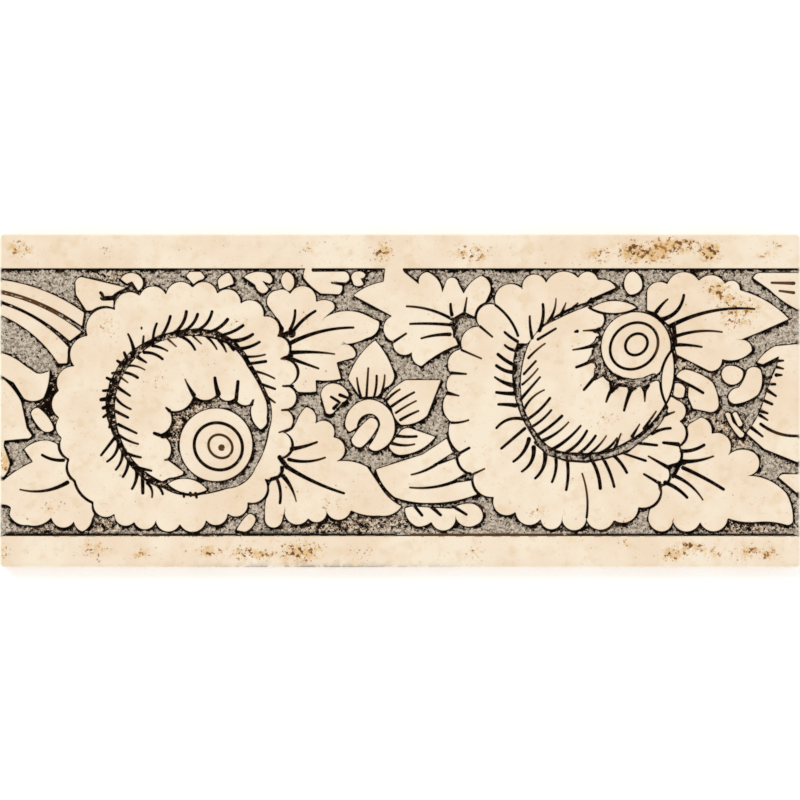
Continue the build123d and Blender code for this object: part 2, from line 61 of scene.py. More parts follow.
# Drawn lines of the frieze, in millimetres: width at the root and at the tip, then for each line
# its root, its tip and how far it bends to the left, as a share of its length. Some lines have
# widths of their own after that
LINES = {
    "leaf_curl": (1.6, 1.6, [
        (-105.2, 42.2, -109.4, 39.6, -0.05, 1.3, 1.6), (-109, 39.2, -113.6, 39, 0, 2.2, 2.2),
        (-113.6, 38.9, -114.2, 41.2, -0.2, 1.6, 1.4),
    ]),
    "leaf_veins": (1.7, 0.85, [
        (-41.9, 27.2, -40, 34.5, -0.07, 1.6, 1.1), (-40.4, 27, -32.3, 34.2, 0.05, 1.7, 1.2),
        (-41.4, 22.2, -17.8, 27.9, 0.06, 2.1, 1), (-41.6, 18.3, -25, 17.8, 0.03, 2.1, 0.7),
        (-41.4, 16, -31.1, 12.3, 0, 1.9, 0.9), (20, 31, 2.6, 36, -0.065, 1.5, 0.9),
        (20.6, 28.8, 3.9, 29.3, -0.02, 1.6, 1), (19, 25.3, 8.2, 23.8, -0.04, 1.8, 0.9),
        (19.8, 32.8, 19.3, 36.9, 0.03, 1.7, 1.1), (24.4, 32.7, 25.5, 39.3, 0, 1.5, 0.65),
        (-3, 22.1, 2.3, 25.6, 0, 1.4, 0.95), (-41.3, -18.4, -31.7, -15.8, -0.03, 2.1, 1),
        (-42.4, -22.4, -28.6, -21.7, -0.08, 1.75, 0.85), (-43.8, -24.8, -21.4, -35.3, -0.035, 2.2, 1.1),
        (-46.9, -29.9, -45.8, -39, 0.075, 1.5, 1.25), (-44.6, -28.7, -39.6, -38.4, 0.065, 2.4, 0.5),
        (97.2, 33, 102.1, 38.7, 0.04, 2.2, 0.8), (99.4, 30.9, 108.3, 40.3, -0.17, 2.2, 1.2),
        (103, 28.4, 135.2, 35, 0.075, 2.2, 0.9), (104.7, 24.4, 122.8, 26.2, 0.065, 1.8, 0.75),
        (104.7, 21.3, 115.1, 20.5, 0.03, 1.9, 0.9), (105, 8.3, 115.6, 3, 0.03, 1.5, 1.3),
        (107.4, -19.2, 116, -16.9, -0.08, 1.8, 1.4), (108, -23.2, 119.5, -21.2, -0.05, 2.2, 0.8),
        (108, -25.6, 123.4, -33.8, 0.02, 1.9, 1.4), (104.8, -28.7, 115.5, -37.8, 0.08, 1.9, 0.7),
        (101.2, -31.2, 109.5, -36.9, 0.06, 2, 1.3), (-126.9, -31.2, -144.9, -33.9, 0.1, 2, 0.7),
        (-128.4, -22.7, -136.5, -20.7, 0.08, 1.6, 1.2),
    ]),
    "leaf_bases": (1.6, 2.2, [
        (-44.9, 16.2, -41.4, 17.2, 0, 1, 1.8),
        (-45.9, -21.6, -43.6, -24.8, 0, 2.2, 2.4), (-45.2, -25.4, -45.1, -28.8, 0, 1.4, 1.4),
        (-49.2, -29.7, -44.4, -28.5, 0, 1.1, 1.6),
        (21.6, 24.2, 22.6, 21.6, 0, 1.5, 1.5),
        (102.4, -25.2, 108.4, -23.6, 0), (104.2, -29, 107, -23.4, 0), (105.2, 21.5, 104.3, 29, 0),
    ]),
    "bud_lines": (1.25, 0.75, [
        (-12.8, 1.4, -12.1, 12.4, 0, 1.15, 0.85), (-9.9, 1.5, -8.9, 9.5, -0.04, 1.1, 1.05),
        (-7.4, 1.7, -5.8, 9.8, -0.04, 1.55, 0.65), (-14.8, 1.1, -16.4, 8.7, 0.03, 1.4, 0.75),
        (-5.2, 0.1, -0.1, 4.3, 0.04, 1.5, 0.85), (-3, -2, 5.4, 3.2, 0.02, 1.4, 0.95),
        (-1.5, -4.6, 6.1, -0.1, 0.02, 1.1, 0.75), (0.2, -7.3, 7, -3.9, 0.02, 1.45, 0.9),
        (-1.3, -13.4, 6.3, -13.6, -0.03, 1.45, 1.15), (-3.1, -16.2, 5.5, -16.6, -0.07, 1.6, 0.8),
        (-22.9, 2.2, -20.3, 1.2, 0, 1.6, 1.3), (-26.3, 1.5, -23.6, -0.2, 0, 1.1, 1.3),
        (-23, -0.6, -25.2, -2.9, 0, 1.1, 1.7),
    ]),
    "trumpet_seams": (2.3, 0.75, [
        (13.8, -24.3, 4.4, -28.2, 0.05, 1.5, 0.8), (21, -30.8, 3.8, -33.1, 0.06, 1.6, 0.8),
    ]),
    "margin_line": (1.1, 1.1, [
        (-150, -50.9, -100, -51, 0, 1.2, 1.3), (-98, -51, -62, -51, 0, 0.9, 1.2),
        (-60, -51, -2, -51, 0, 1.5, 1.3),
        (4, -51.1, 62, -51.1, 0, 0.8, 0.9), (64, -51, 108, -51, 0, 1, 1.3),
        (110, -51, 150, -51, 0, 1.4, 1.2),
    ]),
    "sprig_lines": (1.6, 1.25, [
        (20.3, -40.3, 25.3, -43.4, 0, 1.6, 1.2), (12.2, -40.6, 15.5, -43.6, 0, 1.9, 1.3),
        (5.8, -40.5, 8.4, -43.7, 0, 1.5, 1.3),
    ]),
    "left_outer_fringe": (1.3, 1.1, [
        (-101.4, 18.5, -103.7, 25.4, -0.04, 2.0, 0.9), (-98.2, 20.3, -97.8, 24.6, 0, 1.3, 0.9),
        (-94.2, 23, -92.8, 29.4, 0.05), (-91.2, 24.4, -87.6, 32.2, -0.05, 1.4, 1.3),
        (-87.4, 25.2, -81.5, 34, -0.13, 1.4, 1.5), (-82, 26.8, -77.2, 33, -0.1, 1.4, 1.4),
        (-79.2, 26.2, -71.7, 34, -0.15, 1.6, 1.3), (-73.8, 26, -65.8, 31, -0.1, 1.4, 1.6),
        (-68.2, 25, -59.9, 28.7, -0.06, 1.4, 1.4), (-64.2, 22.8, -56.2, 25.3, -0.08, 2.2, 1.4),
        (-61, 19.8, -53.6, 22.4, -0.06, 1.8, 1.2), (-58.2, 16.8, -51.5, 17.6, -0.04, 1.2, 0.8),
        (-56.8, 14.2, -51.2, 15, 0, 1.4, 1.4), (-55.6, 11.3, -47.9, 8.5, 0.04, 1.2, 0.8),
        (-52.8, 6.3, -47.7, 4.5, 0, 1.4, 1.1), (-50.4, 1.2, -47.7, -0.7, 0, 1.3, 0.8),
        (-110, -6.3, -110.9, -10.2, 0, 1.8, 1.0), (-108.4, -13.6, -114, -20.8, 0, 1.6, 1.1),
        (-107.4, -16.4, -111.7, -23.2, 0.12, 1.6, 1.0), (-105.8, -19.2, -108.4, -26.3, 0.1, 1.6, 1.0),
        (-103.6, -23.2, -105.7, -29, 0.07, 1.6, 1.2), (-100.6, -25.5, -102.2, -33.6, 0.1, 2.0, 1.1),
        (-98.2, -28.5, -98.1, -35.2, 0, 1.9, 1.5), (-96.4, -31.4, -94.6, -36.8, 0.14, 1.5, 0.8),
        (-93.2, -32, -90.5, -35.6, 0.1), (-82.6, -35.4, -82.4, -36.6, 0), (-80, -35.2, -79.8, -36.3, 0),
        (-78, -35.3, -77.6, -36.9, 0),
    ]),
    "left_fringe_stubs": (2.0, 1.2, [
        (-104.1, 15.8, -105.2, 18.4, 0), (-105.6, 13.8, -107.8, 15.2, 0), (-106.8, 10.6, -109.7, 10.5, 0),
        (-108.2, 6.9, -111.8, 8.7, 0), (-109.5, 4, -113.2, 3.8, 0), (-110.6, 0.9, -114, 0.4, 0, 2.3, 1.7),
        (-110.8, -2.1, -113.2, -2.8, 0, 2.3, 1.6), (-110.5, -4.5, -113.1, -6.2, 0),
    ]),
    "left_inner_fringe": (1.5, 0.9, [
        (-83.8, 24.6, -78.2, 19.5, 0.1, 1.6, 1.1), (-78.9, 24.6, -75.8, 21.7, 0, 1.1, 0.6),
        (-73.6, 24.3, -69.9, 19.7, 0.05, 1.4, 0.8), (-69, 23.2, -66.3, 18.7, 0.04, 1.9, 0.8),
        (-65.2, 21.8, -63.5, 19.3, 0, 1.8, 1.2), (-88.6, 23.6, -85.4, 20.7, 0, 1.1, 0.6),
        (-94.4, 21, -88.7, 19, 0.05, 1.6, 0.8), (-97.6, 18.4, -90.6, 15.9, 0.1, 1.5, 1.2),
        (-100, 16.6, -96.8, 14.6, 0, 1.9, 0.9), (-103.8, 13.4, -97.4, 11.8, 0.08, 1.3, 0.6),
        (-105.2, 10.8, -100.1, 8.8, 0.06, 1.4, 1.3), (-106.4, 8.8, -103.8, 6.9, 0, 1.1, 0.6),
        (-107.6, 5, -103, 1.9, 0, 1.8, 1.0), (-108.6, 1.2, -102.7, -3.2, -0.07),
        (-108.6, -4, -103.8, -6.4, 0, 1.6, 1.2),
        (-107.4, -9.1, -100.5, -12.4, 0, 1.6, 1.0), (-107.4, -13, -99.9, -16.5, -0.05, 1.4, 0.9),
        (-105, -19.8, -98.9, -21.6, -0.03, 1.8, 1.0), (-100.9, -25.4, -94.9, -26.7, 0, 1.9, 1.0),
    ]),
    "left_hole_lines": (1.7, 0.9, [
        (-78.7, 2.2, -82, 8.2, 0.02, 2.2, 0.5), (-69.3, 2.6, -70.6, 8.7, 0.03, 2.4, 1.4),
        (-62.5, 0.4, -61.8, 7.3, 0, 1.8, 1.5), (-88, -3.8, -89.2, -2.7, 0),
        (-90.4, -13.7, -93.7, -12.4, 0, 1.9, 1.5),
        (-87.2, -22.3, -89.7, -22.6, 0, 1.4, 0.7), (-56.6, -1.4, -56, 0.2, 0),
    ]),
    "right_inner_fringe": (1.3, 1.0, [
        (52.6, 23.4, 59.4, 27.5, 0), (49, 16.3, 55.3, 21.8, 0.03, 1.2, 0.7),
        (47.3, 10.2, 51.8, 15.1, 0, 1.2, 1.0),
        (46.7, 6.2, 52.6, 12.2, -0.03, 1.1, 0.7), (46, 0.5, 53.4, 9, 0, 1.6, 0.9),
        (47, -4, 55, 4.1, 0.1, 1.4, 0.7),
        (48.2, -7.4, 57.2, 1, -0.05, 1.4, 1.2), (50.2, -10, 57.7, -3.6, -0.05),
        (52.6, -13, 61.8, -5.8, -0.03, 1.5, 1.3),
        (54, -15.4, 64.3, -8.2, -0.06, 1.8, 0.7), (57.4, -19, 68.9, -9.6, -0.05, 1.9, 1.0),
        (62.6, -20.2, 71.3, -11.5, -0.08, 1.6, 1.2), (67.4, -20.8, 74.6, -13.4, -0.05, 1.6, 1.2),
        (70, -21.8, 78.7, -13.4, -0.06, 1.9, 0.6), (75.2, -20.6, 82.8, -14.3, -0.08, 2.0, 0.9),
        (82, -18.2, 84.3, -12.5, 0, 1.7, 0.6), (88.6, -13.6, 91.4, -9, 0, 1.7, 0.6),
        (93.2, -10.6, 97.7, -4.1, 0, 1.7, 0.7),
    ]),
    "right_outer_fringe": (1.5, 1.2, [
        (44.8, 22.6, 40, 26.1, 0.03), (44.6, 19.2, 40, 21.2, 0.1, 1.8, 1.0),
        (43.6, 13.6, 37.4, 17.7, 0.04, 1.8, 1.5),
        (43.4, 10.8, 36.8, 13.4, 0.08, 1.9, 1.4), (43.6, 5.8, 36.2, 9, 0.06, 2.6, 0.9),
        (43.6, 2.7, 36.8, 3.2, 0.02, 2.1, 1.3),
        (44, -1.8, 37.6, -1.4, -0.02, 2.1, 1.2), (47, -7, 36.8, -10.4, -0.15, 1.6, 1.1),
        (47.6, -10.6, 38.7, -18.2, 0),
        (49.2, -14.6, 43.3, -23.2, 0.1, 2.0, 1.1), (51, -17.8, 46.5, -27, 0.15, 2.2, 1.0),
        (55.4, -20.2, 51.6, -29.6, 0.12, 2.2, 1.1),
        (59.3, -20.8, 58, -31, 0.08, 1.7, 1.1), (63.6, -21.4, 63.4, -34, 0.05, 1.7, 1.2),
        (72.6, -21.8, 76.4, -33.4, 0.07, 1.6, 1.6), (77.2, -21.6, 81.7, -32.8, 0.04, 1.6, 1.2),
        (81.8, -21.2, 86.5, -27.4, 0.05, 1.6, 1.3),
        (85, -20, 93.7, -22.9, 0, 1.0, 1.2), (91.2, -16.2, 98, -17, 0), (96.2, -12.6, 103.2, -10.5, 0.07),
        (100.6, -5.8, 104.6, -4.3, 0, 1.4, 0.8),
        (50.4, 24, 49.5, 32.2, 0.03, 1.6, 0.9), (53.2, 26.8, 54.5, 36.8, -0.07, 1.8, 1.2),
        (56.8, 30.4, 59.5, 39, -0.08, 1.8, 0.5),
        (61.4, 32.6, 63.3, 37.3, 0, 2.0, 0.5), (66, 35.2, 67.8, 37.2, 0, 1.8, 0.8), (71.4, 37, 73, 38.9, 0),
    ]),
    "petal_folds": (1.1, 0.75, [
        (36.5, 36.4, 45, 24.8, 0.08, 1.1, 1.2), (30.6, 28.3, 35.2, 24.4, 0, 1.2, 0.9),
        (23.6, 19.3, 31, 16.1, 0), (19.5, 10.6, 25.2, 10.2, 0, 1.6, 0.9),
        (18.2, 2.9, 22.4, 1.9, 0, 2, 0.7), (18.6, -8.3, 26.1, -7.4, -0.06, 1.3, 0.85),
        (22.8, -20, 26.4, -18, 0, 1.3, 1.2), (28.3, -27.8, 32.2, -26, 0),
        (71.2, -44.5, 69.5, -27.8, -0.06), (99.1, -31.6, 93.1, -28, 0, 1.6, 1),
        (102, -25.3, 94.8, -21.2, 0, 1.9, 0.8), (106, -16.6, 100.5, -16, 0, 2, 1.3),
        (99, -31.4, 99.2, -34.2, 0, 1.8, 0.7), (-42.2, 16.3, -45.3, 16, 0, 1.2, 0.8),
        (-41, 5.6, -44.6, 5.6, 0, 1.4, 0.9), (-40.8, -3.3, -45, -3.6, 0, 1.5, 0.9),
        (-42, -10.8, -46.1, -12.1, 0, 1.3, 0.7),
    ]),
    "right_hole_lines": (1.9, 0.8, [
        (76.4, 27, 70, 26.7, 0, 1.6, 0.65), (75, 21.4, 66, 19.4, 0.02, 2.1, 0.7),
        (74, 15.6, 67.3, 12.8, 0.02, 1.8, 1.2), (75.2, 10, 70.2, 4.2, 0, 1.8, 1.2),
        (81.3, 5.2, 78.7, -0.4, -0.04, 2.2, 0.9), (88.3, 4.8, 85.5, -3.7, -0.02, 2.2, 1.1),
        (93.4, 5, 93.4, -0.2, 0, 2, 0.6), (67.6, 26.5, 66.8, 26.3, 0, 1.6, 1),
    ]),
    "end_flower_lines": (1.5, 0.9, [
        (154, -13.2, 137.6, -8.9, 0.105, 1.2, 1.4), (143.9, 12.8, 146.2, 12.2, 0, 1.5, 0.8),
        (144.2, 15.2, 146.2, 15.3, 0, 1.5, 0.9), (143.6, 9.8, 145.6, 9.8, 0, 1.8, 0.9),
        (140, 8.4, 141.5, 9, 0, 1.8, 1.4), (139.8, 6.3, 143.1, 6.3, 0, 1.5, 1.2),
        (139.8, 4.2, 143.4, 1.8, 0, 1.8, 1), (138, 0.4, 141.9, -1.3, 0, 1.6, 1.3),
        (137.4, -3.9, 140.2, -4.8, 0, 1.9, 1), (137.4, -5.6, 140.2, -7.4, 0, 1.6, 0.8),
        (134.2, -10.4, 138.3, -13.6, 0, 1.7, 1), (150.2, 44.8, 141.8, 45, 0, 1.6, 1),
        (150.2, 41.2, 144.8, 41.9, 0, 1.4, 0.9), (-98.6, 27.9, -98.6, 27.5, 0, 0.9, 0.9),
        (-21.4, 44.3, -26, 45, 0, 1.5, 0.8),
    ]),
}

# Share of a line's width that is cut; the rest is its soft edge
INK_SHARE = 0.8

# Ring lines round the eyes of the two flowers: centre, long and short radius, tilt, width
EYE_RINGS = [
    (-69.3, -17.4, 9.4, 8.8, -35, 1.15), (-68.5, -17.4, 4.8, 4.2, -40, 0.9),
    (-68.1, -17.9, 0.5, 0.5, 0, 1.5),
    (89.3, 20.9, 9.7, 8.3, 40, 1.0), (90.2, 21.5, 4.5, 3.8, 40, 1.0),
]

# Etched ground beyond the outlines of the CAD tile, as paths: place and width at each turn
POOLS = {
    "right_hole": [
        (75.6, 23.7, 2), (74.9, 20.9, 3), (74.8, 17.1, 3.7), (76.8, 12.7, 3.8), (80.2, 9.1, 3.9),
        (84.4, 7.2, 3.8),
        (88.9, 6.6, 3.4), (93, 7.3, 3.1), (96.6, 8.9, 3),
    ],
    "left_furrow": [
        (-96.6, -30, 1.6), (-101.7, -25, 1.8), (-105.5, -19.2, 2), (-108.7, -12.2, 2.2),
        (-110.6, -5.9, 2.8),
        (-110.8, 0.5, 3.2), (-109.3, 6.8, 3), (-106.1, 13.2, 2.6), (-102.3, 17.6, 2.4), (-97.9, 20.8, 2.2),
        (-91.5, 24, 2.2), (-85.1, 25.6, 2.2), (-77.5, 26.5, 2.3), (-69.9, 25.6, 2.2), (-63.5, 22.1, 2),
        (-58.5, 16.4, 1.5),
    ],
    "right_furrow": [
        (52.1, -16, 2), (57.2, -19.9, 2.3), (63.5, -22.1, 2.3), (71.2, -22.6, 2.3), (78.8, -21.1, 2.3),
        (86.4, -18.6, 2.6), (92.8, -13.5, 2.4), (97.9, -8.4, 2), (101.7, -4.6, 1.2),
    ],
    "hole_cusp_1": [(76, 26.7, 2.6), (74.2, 26.6, 1.4)],
    "hole_cusp_2": [(75, 21.4, 3.6), (72.9, 20.9, 1.4)],
    "hole_cusp_3": [(74.4, 16.2, 4.4), (72.2, 15.1, 1.4)],
    "hole_cusp_4": [(76.2, 11, 4.8), (74.3, 8.4, 1.4)],
    "hole_cusp_5": [(81.9, 6.5, 4.8), (80.7, 3.5, 1.4)],
    "hole_cusp_6": [(88.6, 5.9, 4.8), (87.7, 3.2, 1.4)],
    "hole_cusp_7": [(93.4, 6.1, 4.4), (93.4, 3.6, 1.4)],
    "leaf_base": [(-46, 25, 0.8), (-41.4, 25.6, 3.2)],
    "crown_base": [(19.8, 29.4, 1.6), (21.4, 27, 2.6)],
    "upper_lobe": [(12.7, -24.8, 0.7), (21.6, -20.4, 2.7)],
    "lower_lobe": [(19.4, -31.3, 0.7), (26.2, -28.9, 3.4)],
}

# Ochre stain with pits: middle, reach along and across, strength
STAINS = [
    (-145.4, 57.9, 5, 3, 0.6), (-6.7, 56.9, 4, 3.5, 0.7), (-112, 57, 5, 3, 0.25), (-36, 58, 5, 3, 0.3),
    (-116.3, -56.5, 5, 3, 0.6), (-99, -58.4, 4.5, 2.2, 0.5), (-73.4, -57.5, 4.5, 2, 0.7),
    (-58, -58.4, 8, 2.4, 0.7), (-38, -57.5, 8, 3.2, 0.85), (-151, -58, 2, 4, 0.5), (-15, -58, 6, 3, 0.3),
    (-111.5, 29.3, 5, 4, 0.35), (-92.5, 7.3, 4, 4, 0.3), (-62, 29, 5, 3, 0.3), (-25.8, -39.4, 5, 3, 0.4),
    (-133.4, -41.3, 5, 3, 0.35), (-150.6, -23, 2, 5, 0.7), (-70, 12, 6, 3, 0.2), (-36, 31, 5, 3, 0.2),
    (27.6, 56, 9, 3.6, 0.55), (76, 56, 4, 3, 0.55), (88.6, 56.9, 5, 3.6, 0.95), (103.9, 59.3, 9, 2.6, 1.0),
    (98, 55, 5, 2.4, 0.75), (118, 56.4, 4, 3.4, 0.95), (143, 59.8, 3, 2, 0.45), (140, 55, 4, 2, 0.4),
    (121, 42.6, 5.5, 3, 0.6), (127.7, 31.2, 6, 4.5, 0.55), (125.8, 37.8, 6, 3, 0.45), (135, 36, 4, 3, 0.4),
    (28.6, -58.4, 4.5, 2.4, 0.45), (85.8, -54.6, 4, 2, 0.35), (103.9, -58.4, 4.5, 2.6, 0.7),
    (110.5, -55.5, 5, 2.4, 0.65), (120, -57.5, 5, 2.5, 0.45), (133.4, -57.5, 5, 2.6, 0.6),
    (141, -58.4, 2.4, 2, 0.9), (78, -7, 6, 3, 0.3), (53.4, -42.2, 5, 3, 0.35), (86, -45, 5, 3, 0.3),
]

# Where the pigment lies thick in the etched ground: middle, reach along and across, strength
DARK_GROUND = [
    (-135, -50, 16, 3, 0.8), (-112, -47, 9, 5, 0.8), (-25, -47.5, 24, 4, 1.0), (-70, -49, 12, 2.5, 0.5),
    (132, -48.5, 14, 3, 1.0), (110, 13, 8, 4, 0.8), (122, -9, 11, 6, 0.75), (108, -13, 5, 7, 0.9),
    (125, 16, 9, 4, 0.7), (-134, -2, 6, 9, 1.5), (-130, 5, 4, 6, 1.2), (-108, 47, 12, 2.4, 0.9),
    (-84, -8, 7, 9, 1.0), (78, 12, 7, 10, 0.55), (116, 49, 10, 2, 0.7), (-122, 36, 5, 6, 0.7),
    (-70, 47, 20, 2, 0.4), (-46, 24, 5, 10, 0.9), (-19, 12, 4, 8, 0.5), (130, -15, 8, 6, 0.6),
    (70, -49, 25, 2, 0.5), (10, -46, 14, 3, 0.6), (-78, 0, 12, 5, 0.8), (-92, -14, 6, 8, 0.7),
    (-57, -14, 2.5, 9, 0.7), (-43, 25.4, 3, 2, 2.0), (84, 6, 12, 4, 0.4), (-80, -34, 10, 3, 0.6),
]

# Where the pigment has worn down to brown: middle, reach along and across, strength
RUSTY = [
    (146, 45, 6, 1.6, 1.0), (147.5, 41.5, 5, 1.6, 1.0), (115, 26.6, 7, 1.2, 0.5), (119, 33.4, 6, 1.6, 0.4),
    (-150, 41.6, 4, 1.6, 1.0), (-144, 39.6, 4, 1.6, 1.0), (-138.5, 37, 4, 1.8, 1.0),
    (-133.5, 33.6, 4, 2, 0.9),
    (-129, 30.4, 3.5, 2, 0.8), (-14, 8, 4, 6, 0.5), (8, 35.4, 7, 1.4, 0.5), (3, -16.8, 3, 1.4, 0.5),
    (145, -12, 9, 3, 0.5), (98.6, 20, 1.8, 8, 0.7), (-69, -17.4, 9, 9, 0.75), (120.5, 8.4, 4, 3, 0.6),
    (73, 14, 3, 9, 0.4),
]

# Painted shade along the lower arris: middle, reach along and across, strength
LOWER_ARRIS_SHADE = [(-32, -63.5, 42, 0.8, 0.75), (148, -63.5, 4, 0.8, 0.4)]

# Pigment in the furrow round the inner petals of the left flower: middle, radius, bearings
FURROW_SHADE = (-80.3, -3.9, 30.0, range(30, 260, 15))


def furrow_spots():
    """The soft spots that follow the left flower's furrow."""
    x, y, radius, bearings = FURROW_SHADE
    turns = [math.radians(b) for b in bearings]
    return [(x + radius * math.cos(a), y + radius * math.sin(a), 5, 5, 1.0) for a in turns]


def blobs(points, table):
    """Sum of the soft spots of a table at each point, up to 2."""
    total = np.zeros(len(points))
    for x, y, reach_x, reach_y, strength in table:
        away = ((points[:, 0] / MM - x) / reach_x) ** 2 + ((points[:, 1] / MM - y) / reach_y) ** 2
        total += strength * np.exp(-away)
    return np.minimum(total, 2.0)


def line_points(line, root, tip, step):
    """Places along one drawn line: position, direction across it, half width."""
    x0, y0, x1, y1, bend, *own = line
    root, tip = own or (root, tip)
    length = math.hypot(x1 - x0, y1 - y0)
    left = Vector((y0 - y1, x1 - x0)) / length
    count = max(4, round(length / step))
    places = []
    for i in range(count + 1):
        t = i / count
        sag = 4 * bend * length * t * (1 - t)
        slope = 4 * bend * length * (1 - 2 * t)
        spot = Vector((x0 + (x1 - x0) * t, y0 + (y1 - y0) * t)) + left * sag
        along = Vector((x1 - x0, y1 - y0)) + left * slope
        across = Vector((-along.y, along.x)).normalized()
        half = (root + (tip - root) * t ** 0.8) / 2 * INK_SHARE
        places.append((spot * MM, across, half * MM))
    return places


def ring_points(ring, step):
    """The same for a ring line."""
    x, y, long, short, tilt, width = ring
    count = max(10, round(2 * math.pi * long / step))
    turned = Matrix.Rotation(math.radians(tilt), 2)
    places = []
    for i in range(count + 1):
        turn = 2 * math.pi * i / count
        spot = Vector((x, y)) + turned @ Vector((long * math.cos(turn), short * math.sin(turn)))
        across = turned @ Vector((short * math.cos(turn), long * math.sin(turn))).normalized()
        places.append((spot * MM, across, width / 2 * MM))
    return places


def all_lines(step):
    drawn = [line_points(line, root, tip, step) for root, tip, group in LINES.values() for line in group]
    return drawn + [ring_points(ring, step) for ring in EYE_RINGS]


def pool_points(path, step):
    """The same for a path of etched ground."""
    places = []
    for start, end in zip(path, path[1:]):
        run = Vector(end[:2]) - Vector(start[:2])
        across = Vector((-run.y, run.x)).normalized()
        count = max(2, round(run.length / step))
        for i in range(count + 1):
            x, y, width = Vector(start).lerp(Vector(end), i / count)
            places.append((Vector((x, y)) * MM, across, width / 2 * MM))
    return places


def all_pools(step):
    return [pool_points(path, step) for path in POOLS.values()]


def merged_slab():
    """The CAD tile as one joined mesh."""
    bm = bmesh.new()
    bm.from_mesh(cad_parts["border_tile"].data)
    bmesh.ops.remove_doubles(bm, verts=bm.verts, dist=1e-7)
    bm.normal_update()
    return bm


def is_wall(face):
    """Whether a face stands up between the face of the tile and the etched ground."""
    middle = face.calc_center_median()
    inside = abs(middle.x) < HALF_LENGTH - 0.01 * MM and abs(middle.y) < HALF_HEIGHT - 0.01 * MM
    return inside and abs(face.normal.z) < 0.2 and middle.z > TOP - 1.2 * ETCH_DEPTH


def helper(name, data):
    """An object that only serves the node trees."""
    thing = bpy.data.objects.new(name, data)
    bpy.context.scene.collection.objects.link(thing)
    return thing


def mesh_of(bm, name):
    data = bpy.data.meshes.new(name)
    bm.to_mesh(data)
    return data


slab_mesh = merged_slab()
slab = helper("slab_helper", mesh_of(slab_mesh, "slab_helper"))
slab_tree = BVHTree.FromBMesh(slab_mesh)

walls_mesh = merged_slab()
bmesh.ops.delete(walls_mesh, geom=[f for f in walls_mesh.faces if not is_wall(f)], context="FACES")
walls = helper("walls_helper", mesh_of(walls_mesh, "walls_helper"))
walls_tree = BVHTree.FromBMesh(walls_mesh)
WALL_MIDDLE = TOP - ETCH_DEPTH / 2


def ground_reach(x, y):
    """Signed distance to the nearest etched wall: above zero over the etched ground."""
    reach = walls_tree.find_nearest(Vector((x, y, WALL_MIDDLE)))[3]
    hit = slab_tree.ray_cast(Vector((x, y, TOP + MM)), Vector((0, 0, -1)))[0]
    return reach if hit is None or hit.z < WALL_MIDDLE else -reach


def curve_of(name, drawn):
    """Lines or pools as splines whose radius is their half width."""
    data = bpy.data.curves.new(name, "CURVE")
    data.dimensions = "3D"
    for places in drawn:
        spline = data.splines.new("POLY")
        spline.points.add(len(places) - 1)
        for point, (spot, across, half) in zip(spline.points, places):
            point.co = (spot.x, spot.y, TOP, 1)
            point.radius = half
    return helper(name, data)


lines = curve_of("drawn_lines", all_lines(0.25))
pools = curve_of("etched_pools", all_pools(0.25))


class Tree:
    """A short way to write a node tree."""

    def __init__(self, name, kind):
        self.tree = bpy.data.node_groups.new(name, kind) if kind else None

    def node(self, kind, settings=None, **values):
        made = self.tree.nodes.new(kind)
        for key, value in (settings or {}).items():
            setattr(made, key, value)
        for key, value in values.items():
            self.feed(made.inputs[key.replace("_", " ")], value)
        return made

    def feed(self, socket, value):
        if isinstance(value, bpy.types.NodeSocket):
            self.tree.links.new(value, socket)
        else:
            socket.default_value = value

    def math(self, operation, *values, kind="ShaderNodeMath"):
        made = self.tree.nodes.new(kind)
        made.operation = operation
        for socket, value in zip(made.inputs, values):
            self.feed(socket, value)
        return made.outputs[0]

    def sweep(self, value, low, high, start=0.0, end=1.0, mode="SMOOTHSTEP"):
        """Maps a value from one range to another, held at both ends."""
        made = self.tree.nodes.new("ShaderNodeMapRange")
        made.interpolation_type = mode
        for socket, given in zip(made.inputs[:5], (value, low, high, start, end)):
            self.feed(socket, given)
        return made.outputs[0]


def group_inputs(tree, sockets):
    """Named inputs of a geometry tree; returns the input node and the identifiers by name."""
    identifiers = {}
    tree.tree.interface.new_socket("Geometry", in_out="INPUT", socket_type="NodeSocketGeometry")
    for name, kind in sockets.items():
        made = tree.tree.interface.new_socket(name, in_out="INPUT", socket_type=kind)
        identifiers[name] = made.identifier
    tree.tree.interface.new_socket("Geometry", in_out="OUTPUT", socket_type="NodeSocketGeometry")
    return tree.node("NodeGroupInput"), identifiers


def run_tree(thing, tree, identifiers, values):
    """The mesh that a geometry tree makes of an object."""
    modifier = thing.modifiers.new(tree.name, "NODES")
    modifier.node_group = tree
    for name, value in values.items():
        modifier[identifiers[name]] = value
    thing.update_tag()
    bpy.context.view_layer.update()
    evaluated = thing.evaluated_get(bpy.context.evaluated_depsgraph_get())
    made = bpy.data.meshes.new_from_object(evaluated)
    thing.modifiers.remove(modifier)
    return made


